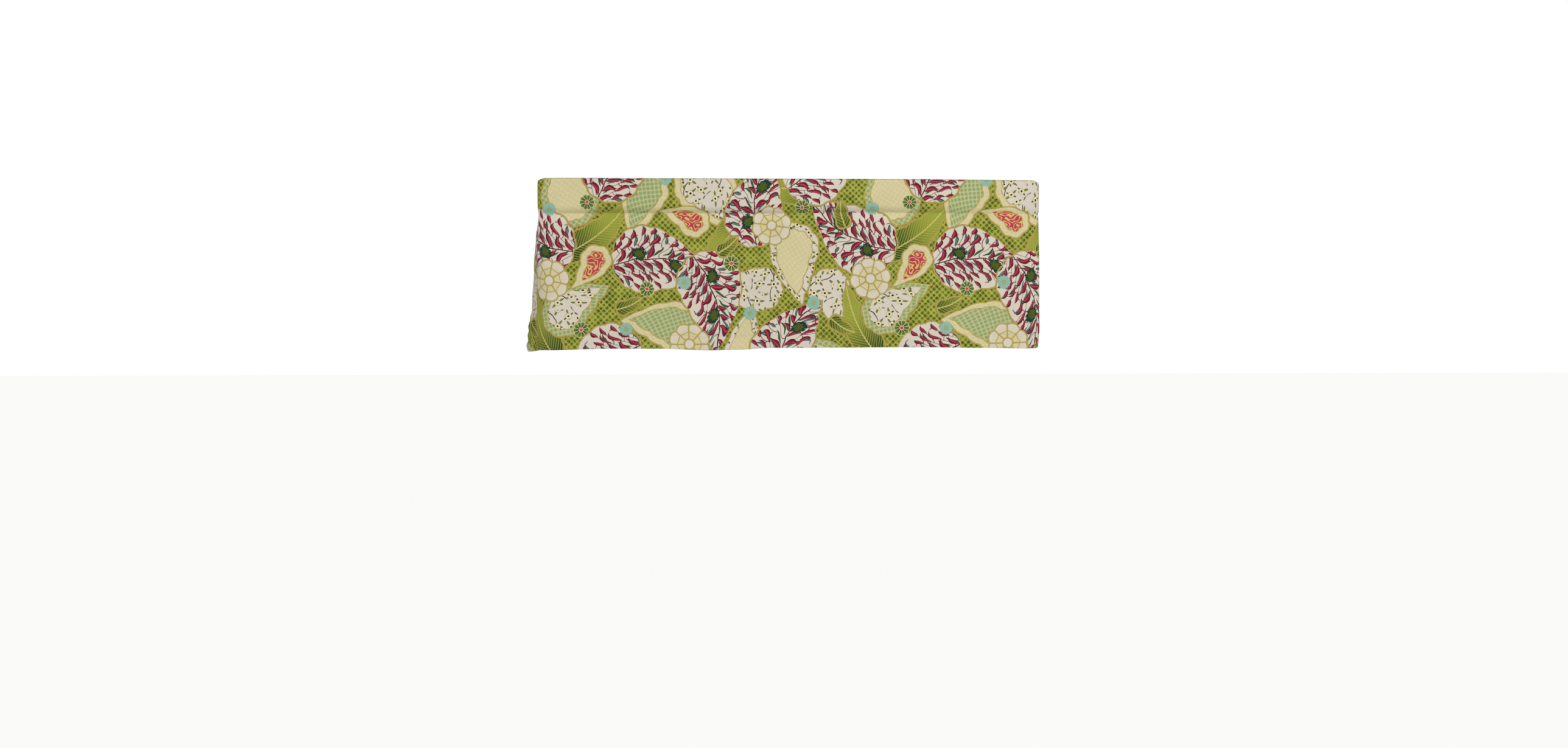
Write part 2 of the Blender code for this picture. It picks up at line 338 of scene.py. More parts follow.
def hem_back(hang, share):
    """The hem's own band on the back, going down."""
    height = hang.hem + (HEM_BAND - hang.edge_radius) * (1 - share) + hang.hem_radius * share
    return hang.front_depth(height) + 2 * hang.hem_radius, height, (-1.0, 0.0)


def hem_fold(hang, share):
    """The bottom edge, from the back to the front."""
    angle = math.pi * share
    height = hang.hem + hang.hem_radius * (1 - math.sin(angle))
    depth = hang.front_depth(hang.hem + hang.hem_radius) + hang.hem_radius * (1 + math.cos(angle))
    return depth, height, (-math.cos(angle), math.sin(angle))


def skirt_front(hang, share):
    """The printed face, from the bottom edge up to the seam."""
    low = hang.hem + hang.hem_radius
    height = low + (hang.seam - low) * share
    return hang.front_depth(height), height, (1.0, 0.0)


def pocket_front(hang, share):
    """The printed face of the pocket, going up."""
    height = hang.seam + (hang.top - HALF_POCKET - hang.seam) * share
    return hang.front_depth(height), height, (1.0, 0.0)


def pocket_top(hang, share):
    """The fold over the rod, from the front to the back, a little squarer than a round."""
    angle = math.pi * share
    spring = hang.top - HALF_POCKET
    near, far = hang.front_depth(spring), hang.back_depth(spring)
    middle, reach = (near + far) / 2, (far - near) / 2
    across = math.copysign(abs(math.cos(angle)) ** FOLD_SQUARE, math.cos(angle))
    up = math.sin(angle) ** FOLD_SQUARE
    return middle - reach * across, spring + HALF_POCKET * up, (math.cos(angle), -math.sin(angle))


def pocket_back(hang, share):
    """The pocket's back, going down."""
    spring, low = hang.top - HALF_POCKET, hang.seam - TUCK_DROP
    height = spring + (low - spring) * share
    return hang.back_depth(height), height, (-1.0, 0.0)


def tuck_fold(hang, share):
    """The lower fold of the pocket's back, just under the seam."""
    angle = math.pi * share
    low = hang.seam - TUCK_DROP
    depth = hang.front_depth(low) + hang.layers * LAYER + hang.edge_radius * (1 + math.cos(angle))
    return depth, low - hang.edge_radius * math.sin(angle), (-math.cos(angle), math.sin(angle))


def tuck_under(hang, share):
    """The turned-under edge inside the pocket, going up against its back."""
    height = hang.seam - TUCK_DROP + (TUCK_DROP + TUCK_RISE) * share
    room = 1 + (TUCK_ROOM - 1) * ease((height - hang.seam) / TUCK_OPENS)
    return hang.back_depth(height) - 2 * hang.edge_radius * room, height, (1.0, 0.0)


def even(steps):
    return spaced(0.0, 1.0, steps)


def parted(place, steps, next_steps):
    """Shares of a stretch that is stepped one way up to a place in it and another way after it."""
    return spaced(0.0, place, steps) + spaced(place, 1.0, next_steps)


EASE_STARTS = 1 - SKIRT_EASE / SKIRT_DROP
TAPER_ENDS = SEAM_TAPER / (POCKET_DROP - HALF_POCKET)
BACK_TAPER_STARTS = 1 - (SEAM_TAPER + TUCK_DROP) / (POCKET_DROP - HALF_POCKET + TUCK_DROP)
SECTION = (
    (hem_under, even(UNDER_ROWS)),
    (hem_top, even(FOLD_ROWS)),
    (hem_back, even(HEM_BACK_ROWS)),
    (hem_fold, even(FOLD_ROWS)),
    (skirt_front, parted(EASE_STARTS, SKIRT_ROWS, SKIRT_EASE_ROWS)),
    (pocket_front, parted(TAPER_ENDS, TAPER_ROWS, POCKET_ROWS)),
    (pocket_top, even(TOP_ROWS)),
    (pocket_back, parted(BACK_TAPER_STARTS, POCKET_BACK_ROWS, TAPER_ROWS)),
    (tuck_fold, even(FOLD_ROWS)),
    (tuck_under, even(UNDER_ROWS) + [1.0]),
)


# ---------------------------------------------------------------- the columns, from side to side
# Columns in each stretch. Across the front they lie 5 mm apart, and closer together round the corner.
FRONT_COLUMNS = 94
CORNER_COLUMNS = 24
RETURN_COLUMNS = 4
BAND_COLUMNS = 7
EDGE_COLUMNS = 5
BAND_BACK_COLUMNS = 4
INNER_EDGE_COLUMNS = 4
BAND_UNDER_COLUMNS = 3


def half_columns():
    """(run, layer) from the middle to the raw edge inside the right side hem."""
    bend = STRAIGHT_RUN - (LEFT_CORNER - POCKET_CORNER) / 2
    past = STRAIGHT_RUN + CORNER_ARC + (LEFT_CORNER - POCKET_CORNER) / 2
    inner = HALF_RUN - SIDE_BAND
    edge = HALF_RUN - LAYER
    raw_edge = HALF_RUN - 3 * LAYER
    columns = [(run, 0.0) for run in spaced(0.0, bend, FRONT_COLUMNS)]
    columns += [(run, 0.0) for run in spaced(bend, past, CORNER_COLUMNS)]
    columns += [(run, 0.0) for run in spaced(past, inner - CROSSING, RETURN_COLUMNS)]
    columns += [(run, 0.0) for run in spaced(inner - CROSSING, edge, BAND_COLUMNS)]
    for angle in spaced(0.0, math.pi, EDGE_COLUMNS):
        columns.append((edge + LAYER * math.sin(angle), 1 - math.cos(angle)))
    columns += [(run, 2.0) for run in spaced(edge, inner, BAND_BACK_COLUMNS)]
    for angle in spaced(0.0, math.pi, INNER_EDGE_COLUMNS):
        columns.append((inner - LAYER / 2 * math.sin(angle), (3 + math.cos(angle)) / 2))
    columns += [(run, 1.0) for run in spaced(inner, raw_edge, BAND_UNDER_COLUMNS)]
    return columns + [(raw_edge, 1.0)]


def all_columns():
    """The columns from one raw edge to the other."""
    right = half_columns()
    return [(-run, layer) for run, layer in reversed(right[1:])] + right


def along_columns(columns):
    """The distance across the flat cloth of each column, 0 at the middle."""
    places = [0.0]
    for (run, layer), (next_run, next_layer) in zip(columns, columns[1:]):
        places.append(places[-1] + math.hypot(next_run - run, (next_layer - layer) * LAYER))
    middle = places[-1] / 2
    return [place - middle for place in places]


def along_rows(rows):
    """The distance up the flat cloth of each row, 0 at the top of the fold over the rod."""
    hang = Hang(0.0)
    spots = [row(hang, share)[:2] for row, share in rows]
    places = [0.0]
    for spot, next_spot in zip(spots, spots[1:]):
        places.append(places[-1] + math.dist(spot, next_spot))
    crest = places[max(range(len(spots)), key=lambda index: spots[index][1])]
    return [place - crest for place in places]


def sheet_mesh(columns, rows):
    """The folded sheet's grid, its printed side outwards, with its place on the flat cloth as its UV map."""
    bm = bmesh.new()
    across, up = along_columns(columns), along_rows(rows)
    hangs = [Hang(run) for run, _ in columns]
    grid = []
    for row, share in rows:
        line = []
        for hang, (_, layer) in zip(hangs, columns):
            depth, height, (in_depth, in_height) = row(hang, share)
            offset = layer * LAYER
            line.append(bm.verts.new(hang.point(depth + offset * in_depth, height + offset * in_height)))
        grid.append(line)
    flat = bm.loops.layers.uv.new("Cloth")
    for low in range(len(rows) - 1):
        for left in range(len(columns) - 1):
            spots = ((low, left), (low, left + 1), (low + 1, left + 1), (low + 1, left))
            face = bm.faces.new([grid[spot[0]][spot[1]] for spot in spots])
            for loop, spot in zip(face.loops, spots):
                loop[flat].uv = (across[spot[1]], up[spot[0]])
    mesh = bpy.data.meshes.new("valance_cloth")
    bm.to_mesh(mesh)
    bm.free()
    mesh.shade_smooth()
    return mesh, (across[-1] - across[0], up[-1] - up[0])


def apply_modifier(piece, modifier):
    bpy.ops.object.select_all(action="DESELECT")
    bpy.context.view_layer.objects.active = piece
    piece.select_set(True)
    bpy.ops.object.modifier_apply(modifier=modifier.name)


def make_cloth():
    """The panel with its thickness: the printed face first and the wrong side second."""
    rows = [(stretch, share) for stretch, shares in SECTION for share in shares]
    mesh, flat = sheet_mesh(all_columns(), rows)
    cloth = bpy.data.objects.new("valance_cloth", mesh)
    bpy.context.collection.objects.link(cloth)
    printed, weave = print_group(), weave_group()
    cloth.data.materials.append(printed_face(printed, weave))
    cloth.data.materials.append(wrong_side(printed, weave))
    solid = cloth.modifiers.new("Cloth", "SOLIDIFY")
    solid.thickness = CLOTH
    solid.offset = 0.0
    solid.material_offset = 1
    solid.material_offset_rim = 1
    apply_modifier(cloth, solid)
    return cloth, flat


# ---------------------------------------------------------------- materials
def colour(code):
    """A linear colour from a screen one, written as six hexadecimal digits."""
    parts = [int(code[place:place + 2], 16) / 255 for place in (0, 2, 4)]
    linear = [part / 12.92 if part <= 0.04045 else ((part + 0.055) / 1.055) ** 2.4 for part in parts]
    return (*linear, 1.0)


DULL = 0.2  # how much of a plain surface's gloss the cotton keeps


def new_material(name, sheen):
    material = bpy.data.materials.new(name)
    material.use_nodes = True
    shader = material.node_tree.nodes["Principled BSDF"]
    shader.inputs["Sheen Weight"].default_value = sheen
    shader.inputs["Specular IOR Level"].default_value = DULL
    return material, shader


# ---------------------------------------------------------------- reckoning with shader nodes
KIND_SLACK = 0.05  # how far from a kind's number a wire may be and still count as that kind


class Wire:
    """A node's output. Sums with it make math nodes."""

    def __init__(self, socket):
        self.socket = socket
        self.tree = socket.id_data

    def __add__(self, other):
        return reckon("ADD", self, other)

    def __sub__(self, other):
        return reckon("SUBTRACT", self, other)

    def __rsub__(self, other):
        return reckon("SUBTRACT", other, self)

    def __mul__(self, other):
        return reckon("MULTIPLY", self, other)

    def __truediv__(self, other):
        return reckon("DIVIDE", self, other)

    def __gt__(self, other):
        return reckon("GREATER_THAN", self, other)

    def __lt__(self, other):
        return reckon("LESS_THAN", self, other)

    def __abs__(self):
        return reckon("ABSOLUTE", self)


def put(socket, value):
    """Links a wire to a socket, or sets a plain value on it."""
    if isinstance(value, Wire):
        value.tree.links.new(value.socket, socket)
    else:
        socket.default_value = value


def tree_of(values):
    """The node tree that the wires among some values belong to."""
    return next(value.tree for value in values if isinstance(value, Wire))


def add_node(kind, inputs, output=0, tree=None, **settings):
    """A node with its settings, and its inputs by name or number."""
    node = (tree or tree_of(inputs.values())).nodes.new(kind)
    for name, value in settings.items():
        setattr(node, name, value)
    for name, value in inputs.items():
        put(node.inputs[name], value)
    return Wire(node.outputs[output])


def reckon(operation, *values):
    return add_node("ShaderNodeMath", dict(enumerate(values)), operation=operation)


def reckon_vector(operation, *values, output="Vector"):
    return add_node("ShaderNodeVectorMath", dict(enumerate(values)), output, operation=operation)


def length(x, y):
    return reckon_vector("LENGTH", vector(x, y), output="Value")


def scale_vector(wire, size):
    return add_node("ShaderNodeVectorMath", {0: wire, "Scale": size}, operation="SCALE")


def vector(x, y, z=0.0):
    return add_node("ShaderNodeCombineXYZ", {"X": x, "Y": y, "Z": z})


def pieces(wire):
    """The x, y and z of a vector."""
    split = add_node("ShaderNodeSeparateXYZ", {"Vector": wire}).socket.node
    return [Wire(output) for output in split.outputs]


def mix(share, low, high):
    """A colour between two, each a wire, a linear colour or a screen colour's code."""
    low, high = (colour(tint) if isinstance(tint, str) else tint for tint in (low, high))
    return add_node("ShaderNodeMix", {0: share, 6: low, 7: high}, 2, data_type="RGBA")


def mix_number(share, low, high):
    return add_node("ShaderNodeMix", {0: share, 2: low, 3: high}, 0, data_type="FLOAT")


def mix_vector(share, low, high):
    return add_node("ShaderNodeMix", {0: share, 4: low, 5: high}, 1, data_type="VECTOR")


def folded(wire):
    """0.5 where a wire is a whole number, and 0 half way between two."""
    return abs(reckon("FRACT", wire) - 0.5)


def smooth(wire, low, high):
    """0 below low and 1 above high, eased between."""
    values = {"Value": wire, "From Min": low, "From Max": high}
    return add_node("ShaderNodeMapRange", values, interpolation_type="SMOOTHSTEP")


def is_kind(wire, kind):
    """1 where a kind's number is this one."""
    return add_node("ShaderNodeMath", {0: wire, 1: float(kind), 2: KIND_SLACK}, operation="COMPARE")


def mottle(wire, scale, detail=2.0):
    """Noise from 0 to 1 on a vector, a metre over the scale from one patch to the next."""
    values = {"Vector": wire, "Scale": scale, "Detail": detail}
    return add_node("ShaderNodeTexNoise", values, "Fac")


def new_group(name, *inputs):
    """A node group and the wires of its inputs, each given as (name, socket kind)."""
    group = bpy.data.node_groups.new(name, "ShaderNodeTree")
    for title, kind in inputs:
        group.interface.new_socket(name=title, in_out="INPUT", socket_type="NodeSocket" + kind)
    start = group.nodes.new("NodeGroupInput")
    return group, [Wire(output) for output in start.outputs[:len(inputs)]]


def close_group(group, *outputs):
    """Gives a group its outputs, each as (name, socket kind, wire)."""
    for title, kind, _ in outputs:
        group.interface.new_socket(name=title, in_out="OUTPUT", socket_type="NodeSocket" + kind)
    end = group.nodes.new("NodeGroupOutput")
    for title, _, wire in outputs:
        put(end.inputs[title], wire)
    return group


def use_group(group, **inputs):
    """Places a group and gives the wires of its outputs."""
    node = tree_of(inputs.values()).nodes.new("ShaderNodeGroup")
    node.node_tree = group
    for name, value in inputs.items():
        put(node.inputs[name], value)
    return [Wire(output) for output in node.outputs]


# ---------------------------------------------------------------- the print's layout
# The print repeats over a tile of flat cloth. A motif's place is in metres on the tile, its turn is in
# degrees from upright, and later rows lie over earlier ones.
TILE = (0.686, 0.520)
TILE_SHIFT = (0.060, 0.455)  # where the middle of the valance's top edge falls on the tile
TIP = 2.1  # a drop's length above its round end, over its reach
LOBE = 0.0035  # how deep its lobes are cut
LOBE_PITCH = 0.036
OUTLINE = 0.0038
OUTLINE_RIM = 0.0007
BORDER = 0.0165
BORDER_LINE = 0.0020

SPRIGS, SPRAY, OLIVE, PALE, MINT, CORAL, LEAF = range(7)
BORDER_CODE = 10.0  # a drop's two fills are kept as one number: the inside's, and the border's over this
Drop = namedtuple("Drop", "x y turn wide reach bend inside border")
Bloom = namedtuple("Bloom", "x y turn radius petals")

DROPS = (
    Drop(0.684, 0.215, 100, 0.050, 0.050, 4.0, SPRIGS, SPRIGS),
    Drop(0.560, 0.015, 30, 0.050, 0.048, -4.0, SPRIGS, SPRIGS),
    Drop(0.142, 0.215, -140, 0.048, 0.046, 4.0, SPRIGS, SPRIGS),
    Drop(0.102, 0.048, -70, 0.064, 0.064, 3.6, SPRIGS, MINT),
    Drop(0.279, 0.406, 15, 0.064, 0.064, 3.6, PALE, MINT),
    Drop(0.560, 0.438, -120, 0.066, 0.064, 3.6, SPRIGS, PALE),
    Drop(0.226, 0.100, 35, 0.036, 0.066, 2.0, LEAF, LEAF),
    Drop(0.310, 0.312, -60, 0.036, 0.064, -2.0, LEAF, LEAF),
    Drop(0.638, 0.361, 150, 0.036, 0.066, 2.0, LEAF, LEAF),
    Drop(0.093, 0.418, 70, 0.035, 0.064, -2.0, LEAF, LEAF),
    Drop(0.463, 0.468, -20, 0.034, 0.062, 2.0, LEAF, LEAF),
    Drop(0.510, 0.132, 60, 0.058, 0.058, -3.6, MINT, PALE),
    Drop(0.069, 0.303, 165, 0.056, 0.056, -3.6, PALE, SPRIGS),
    Drop(0.262, 0.165, -35, 0.052, 0.052, 4.5, SPRIGS, MINT),
    Drop(0.440, 0.424, 140, 0.050, 0.052, -4.5, MINT, PALE),
    Drop(0.651, 0.060, 20, 0.054, 0.054, 4.5, PALE, SPRIGS),
    Drop(0.036, 0.075, -15, 0.070, 0.066, 3.2, SPRAY, SPRAY),
    Drop(0.222, 0.310, 75, 0.076, 0.070, 3.2, SPRAY, SPRAY),
    Drop(0.366, 0.073, 110, 0.074, 0.070, -3.2, SPRAY, SPRAY),
    Drop(0.432, 0.278, -80, 0.074, 0.070, 3.2, SPRAY, SPRAY),
    Drop(0.571, 0.232, -150, 0.072, 0.068, 3.2, SPRAY, SPRAY),
    Drop(0.108, 0.461, -60, 0.072, 0.068, -3.2, SPRAY, SPRAY),
    Drop(0.367, 0.460, -30, 0.066, 0.064, 3.2, SPRAY, SPRAY),
    Drop(0.668, 0.365, 5, 0.066, 0.064, 3.2, SPRAY, SPRAY),
    Drop(0.640, 0.478, 40, 0.019, 0.024, 6.0, LEAF, LEAF),
    Drop(0.392, 0.176, -75, 0.019, 0.024, -6.0, LEAF, LEAF),
    Drop(0.470, 0.062, 165, 0.019, 0.024, 6.0, LEAF, LEAF),
    Drop(0.160, 0.140, -130, 0.019, 0.024, -6.0, LEAF, LEAF),
    Drop(0.172, 0.360, 20, 0.019, 0.024, 6.0, LEAF, LEAF),
    Drop(0.605, 0.300, -60, 0.018, 0.022, -6.0, LEAF, LEAF),
    Drop(0.330, 0.020, 80, 0.018, 0.022, 6.0, LEAF, LEAF),
    Drop(0.333, 0.278, 170, 0.036, 0.034, 9.0, CORAL, PALE),
    Drop(0.542, 0.356, 40, 0.036, 0.034, -9.0, CORAL, PALE),
    Drop(0.224, 0.012, -20, 0.034, 0.034, -9.0, CORAL, PALE),
)
CREAM_PETALS, AQUA_PETALS, GREEN_PETALS = 8, 12, 10
BLOOMS = (
    Bloom(0.232, 0.235, 10, 0.046, CREAM_PETALS),
    Bloom(0.530, 0.100, 25, 0.046, CREAM_PETALS),
    Bloom(0.020, 0.350, 15, 0.044, CREAM_PETALS),
    Bloom(0.110, 0.185, 0, 0.0150, AQUA_PETALS),
    Bloom(0.395, 0.130, 0, 0.0145, AQUA_PETALS),
    Bloom(0.520, 0.230, 0, 0.0150, AQUA_PETALS),
    Bloom(0.660, 0.165, 0, 0.0145, AQUA_PETALS),
    Bloom(0.235, 0.385, 0, 0.0150, AQUA_PETALS),
    Bloom(0.480, 0.450, 0, 0.0145, AQUA_PETALS),
    Bloom(0.300, 0.130, 0, 0.0175, GREEN_PETALS),
    Bloom(0.440, 0.215, 0, 0.0165, GREEN_PETALS),
    Bloom(0.620, 0.270, 0, 0.0175, GREEN_PETALS),
    Bloom(0.315, 0.400, 0, 0.0165, GREEN_PETALS),
    Bloom(0.070, 0.035, 0, 0.0175, GREEN_PETALS),
    Bloom(0.085, 0.390, 0, 0.0165, GREEN_PETALS),
)


def place_on_tile(spot, centre):
    """The spot in the repeat that lies nearest to a centre."""
    half = (TILE[0] / 2, TILE[1] / 2, 0.0)
    high = reckon_vector("ADD", centre, half)
    low = reckon_vector("SUBTRACT", centre, half)
    return reckon_vector("WRAP", spot, high, low)


def turned_local(spot, centre, turn, size=(1.0, 1.0, 1.0)):
    """The spot as a motif sees it: from its centre, unturned and in its own size."""
    values = {"Vector": place_on_tile(spot, centre), "Location": centre, "Rotation": vector(0.0, 0.0, turn)}
    if isinstance(size, Wire):
        values["Scale"] = size
    return add_node("ShaderNodeMapping", values, vector_type="TEXTURE")


def drop_group():
    """Lays one bent drop with a lobed edge over those before it, and keeps where the spot lies in it."""
    group, (spot, centre, turn, wide, reach, bend, kind, best, inset) = new_group(
        "print_drop", ("Spot", "Vector"), ("Centre", "Vector"), ("Turn", "Float"), ("Wide", "Float"),
        ("Reach", "Float"), ("Bend", "Float"), ("Kind", "Float"), ("Best", "Vector"), ("Inset", "Float"),
    )
    x, y, _ = pieces(turned_local(spot, centre, turn))
    up = reckon("MAXIMUM", y, 0.0)
    down = reckon("MINIMUM", y, 0.0) * wide / reach
    across = x - bend * up * up
    from_axis = length(across, down)
    share = up / (reach * TIP)
    around = reckon("ARCTAN2", abs(across), down * -1.0) * wide + up
    lobe = abs(reckon("SINE", around * (math.pi / LOBE_PITCH))) * LOBE - LOBE
    depth = wide - wide * share * share - from_axis + lobe
    inside = depth > 0.0
    return close_group(
        group,
        ("Best", "Vector", mix_vector(inside, best, vector(across, y, kind))),
        ("Inset", "Float", mix_number(inside, inset, depth)),
    )


def bloom_group():
    """Lays one round bloom over those before it, and keeps the spot in its own size."""
    group, (spot, centre, turn, size, kind, best) = new_group(
        "print_bloom", ("Spot", "Vector"), ("Centre", "Vector"), ("Turn", "Float"), ("Size", "Float"),
        ("Kind", "Float"), ("Best", "Vector"),
    )
    x, y, _ = pieces(turned_local(spot, centre, turn, vector(size, size, size)))
    inside = length(x, y) < 1.0
    return close_group(group, ("Best", "Vector", mix_vector(inside, best, vector(x, y, kind))))


# ---------------------------------------------------------------- the print's sprays
CREAM = colour("e6dccb")
GOLD = colour("bda955")
GOLD_DARK = colour("82763a")
Rank = namedtuple("Rank", "pitch shift slant curl start length thick")
BACK_LEAVES = (
    Rank(0.0195, 0.006, 1.5, 900.0, 0.0060, 0.027, 0.0042),
    Rank(0.0210, 0.002, 0.5, 500.0, 0.0300, 0.026, 0.0042),
)
LONG_LEAVES = (
    Rank(0.0205, 0.000, 1.1, 900.0, 0.0010, 0.032, 0.0074),
    Rank(0.0195, 0.011, 1.6, 1300.0, 0.0250, 0.029, 0.0066),
    Rank(0.0225, 0.005, 0.8, 900.0, 0.0460, 0.026, 0.0058),
)
SPRAY_SWAY = 0.020  # how far the sprays are bent off their regular places
SPRAY_SWAY_SCALE = 19.0
SPRAY_STEM = 0.0013  # half its breadth
LEAF_SHORTEST = 0.65  # the shortest leaf of a rank, over the rank's length
LEAF_VARIES = 0.45  # how much longer the longest is
LEAF_FULL = 1.25  # the nearer to 1, the more a leaf narrows to its tip
BACK_LEAF_GAPS = 0.22  # share of a stem's places that hold no leaf
BACK_LEAF_GREEN = 0.5  # chance above which a leaf is bluish
BACK_LEAF_INK = (0.0009, 0.0016)  # the dark outline's inner edge
BACK_LEAF_SHADE = 0.6  # how much darker one half of a leaf is
LONG_LEAVES_GROWN = 0.88  # share of a stem's places that hold a leaf
LONG_LEAF_INK = (0.0010, 0.0017)
LONG_LEAF_SOFT = 0.0008  # how far each side of the midline its two halves blend
LIGHT_VEIN = 0.0003  # half its breadth
LIGHT_VEIN_OFF = 0.0010  # from the leaf's midline
LIGHT_VEIN_STRENGTH = 0.5
STALK = 0.0015
STALK_REACH = 0.024  # from a leaf back towards the stem
STALK_INTO_LEAF = 0.003
BERRY = 0.0021
BERRY_RIM = 0.0007
CLUMP = 0.0150
CLUMP_RIM = 0.0055
CLUMP_PITCH = 0.072
CLUMP_SHIFT = 0.006
CLUMP_ASIDE = 0.014
CLUMP_RAGGED = 0.022
CLUMP_RAGGED_SCALE = 150.0
SCALES_ACROSS = 1100.0  # the small scales drawn over a clump, in radians a metre
SCALES_UP = 1400.0
SCALES_OF_HEART = (0.30, 0.55)
SCALES_OF_RIM = (0.55, 0.7)


def wobble(spot, scale, amount):
    """Moves a spot about a little, as a brush does."""
    noise_node = add_node("ShaderNodeTexNoise", {"Vector": spot, "Scale": scale, "Detail": 1.0}, "Color")
    shift = reckon_vector("SUBTRACT", noise_node, (0.5, 0.5, 0.5))
    return reckon_vector("MULTIPLY_ADD", shift, (amount, amount, 0.0), spot)


def leaf_rank(x, y, rank):
    """One rank of leaves curving out on both sides of a stem: how deep a spot lies in one, the leaf's chance,
    how far off its midline the spot lies, and how far out along it."""
    out = abs(x) - rank.start
    right = x > 0.0
    bowed = y + rank.shift - out * rank.slant + out * out * out * rank.curl
    step = bowed / rank.pitch + right * 0.5
    cell = reckon("FLOOR", step)
    off = (step - cell - 0.5) * rank.pitch
    chance = add_node("ShaderNodeTexWhiteNoise", {"Vector": vector(cell, right, rank.start)}, "Value")
    full_length = chance * (rank.length * LEAF_VARIES) + rank.length * LEAF_SHORTEST
    share = reckon("MINIMUM", out / full_length, 1.0)
    lens = reckon("MAXIMUM", share, 0.0) * (1.0 - share)
    leaf = lens * ((LEAF_FULL - share) * 4.0 * rank.thick) - abs(off)
    return leaf, chance, off, out


def back_leaves(tint, x, y, rank):
    """Small green leaves, some of them bluish, each with a darker half."""
    leaf, chance, off, _ = leaf_rank(x, y, rank)
    body = mix(chance > BACK_LEAF_GREEN, "3f6d34", "6f8f88")
    shaded = mix((off > 0.0) * BACK_LEAF_SHADE, body, "24493a")
    inked = mix(smooth(leaf, *BACK_LEAF_INK), "0a1a10", shaded)
    return mix((leaf > 0.0) * (chance > BACK_LEAF_GAPS), tint, inked)


def long_leaves(tint, x, y, rank):
    """Long raspberry leaves on thin stalks, each with a light vein and a berry past its tip."""
    leaf, chance, off, out = leaf_rank(x, y, rank)
    grown = chance < LONG_LEAVES_GROWN
    stalk = (abs(off) < STALK / 2) * (out < STALK_INTO_LEAF) * (out > -STALK_REACH) * grown
    tint = mix(stalk, tint, "7a223a")
    shaded = mix(smooth(off, -LONG_LEAF_SOFT, LONG_LEAF_SOFT), "b92844", "821830")
    inked = mix(smooth(leaf, *LONG_LEAF_INK), "1e060a", shaded)
    vein = abs(off + LIGHT_VEIN_OFF) < LIGHT_VEIN
    inked = mix(vein * LIGHT_VEIN_STRENGTH, inked, "d98c98")
    tint = mix((leaf > 0.0) * grown, tint, inked)
    berry = BERRY - length(off, out - rank.length)
    return mix(berry > 0.0, tint, mix(berry > BERRY_RIM, "30061a", "a82850"))


def clumps(tint, x, y):
    """Ragged dark green clumps on one side of the stem and the other in turn, covered with small scales."""
    step = (y + CLUMP_SHIFT) / CLUMP_PITCH + 0.5
    row = reckon("FLOOR", step)
    along = (step - row - 0.5) * CLUMP_PITCH
    aside = x + reckon("SINE", row * math.pi + 1.0) * CLUMP_ASIDE
    ragged = mottle(vector(x, y), CLUMP_RAGGED_SCALE) * CLUMP_RAGGED - CLUMP_RAGGED / 2
    clump = ragged + CLUMP - length(aside, along)
    scaly = abs(reckon("SINE", y * SCALES_UP) * reckon("SINE", x * SCALES_ACROSS))
    heart = mix(smooth(scaly, *SCALES_OF_HEART), "1c3511", "6f8128")
    rim = mix(smooth(scaly, *SCALES_OF_RIM), "0b2218", "2f6650")
    tint = mix(clump > 0.0, tint, rim)
    return mix(clump > CLUMP_RIM, tint, heart)


def spray_fill(x, y):
    """Raspberry leaves over small green ones along a stem, with berries and dark green clumps, on cream."""
    x, y, _ = pieces(wobble(vector(x, y), SPRAY_SWAY_SCALE, SPRAY_SWAY))
    tint = mix(abs(x) < SPRAY_STEM, CREAM, "451426")
    for rank in BACK_LEAVES:
        tint = back_leaves(tint, x, y, rank)
    for rank in LONG_LEAVES:
        tint = long_leaves(tint, x, y, rank)
    return clumps(tint, x, y)


# ---------------------------------------------------------------- the print's plainer fills
LATTICE_PITCH = 0.0125
FINE_LINE = (0.455, 0.485)  # where a line's edge blends, as a nearness to it
FINE_LINE_STRENGTH = 0.85
BROAD_LINE = (0.42, 0.45)
BROAD_LINE_STRENGTH = 0.6
CROSSING_MARK = (0.80, 0.90)
CROSSINGS_SHOWN = (0.35, 0.5)
OLIVE_PATCHES = 48.0
OLIVE_WASHES = (0.5, 0.8)
FLECK_REACH = 0.64
FLECKS_SHOWN = (0.43, 0.53)
WASH_GRAIN = 0.3  # how much the fine specks break up the edge of a wash
LINE_GRAIN = 0.07
PALE_WASHES = (0.3, 0.7)
MINT_RING_INSIDE = (0.22, 0.26)
MINT_RING_OUTSIDE = (0.38, 0.42)
MINT_DOT = 0.12
CORAL_CURLS = 7.0
CORAL_CURLS_SCALE = 55.0
CORAL_CURL_EDGE = (0.30, 0.36)
VEIN_PITCH = 0.0075
VEIN_SLANT = 1.1
VEIN_EDGE = (0.38, 0.44)
MIDRIB = 0.0013  # half its breadth
LEAF_BASE = (-0.03, 0.07)  # the dark base's end and the light tip's start


def lattice_lines(x, y):
    """How near a spot lies to a lattice's lines, up to 0.5, and to its crossings, up to 1. Both are 0 in the
    middle of a diamond."""
    near = [folded(way / LATTICE_PITCH) for way in (x + y, x - y)]
    return reckon("MAXIMUM", *near), near[0] + near[1]


def olive_fill(spot, line, diamond, speck):
    """Olive with a fine gold lattice, in uneven washes and dark green flecks."""
    patch = mottle(spot, OLIVE_PATCHES)
    ground = mix(smooth(patch + speck * WASH_GRAIN, *OLIVE_WASHES), "7d8b26", "a6ad40")
    fleck = (diamond + patch * 0.5 < FLECK_REACH) * smooth(speck, *FLECKS_SHOWN)
    flecked = mix(fleck, ground, "2c440f")
    drawn = smooth(line + speck * LINE_GRAIN, *FINE_LINE) * FINE_LINE_STRENGTH
    lined = mix(drawn, flecked, "c6bb5a")
    star = smooth(diamond, *CROSSING_MARK) * smooth(speck, *CROSSINGS_SHOWN)
    return mix(star, lined, "d6cb72")


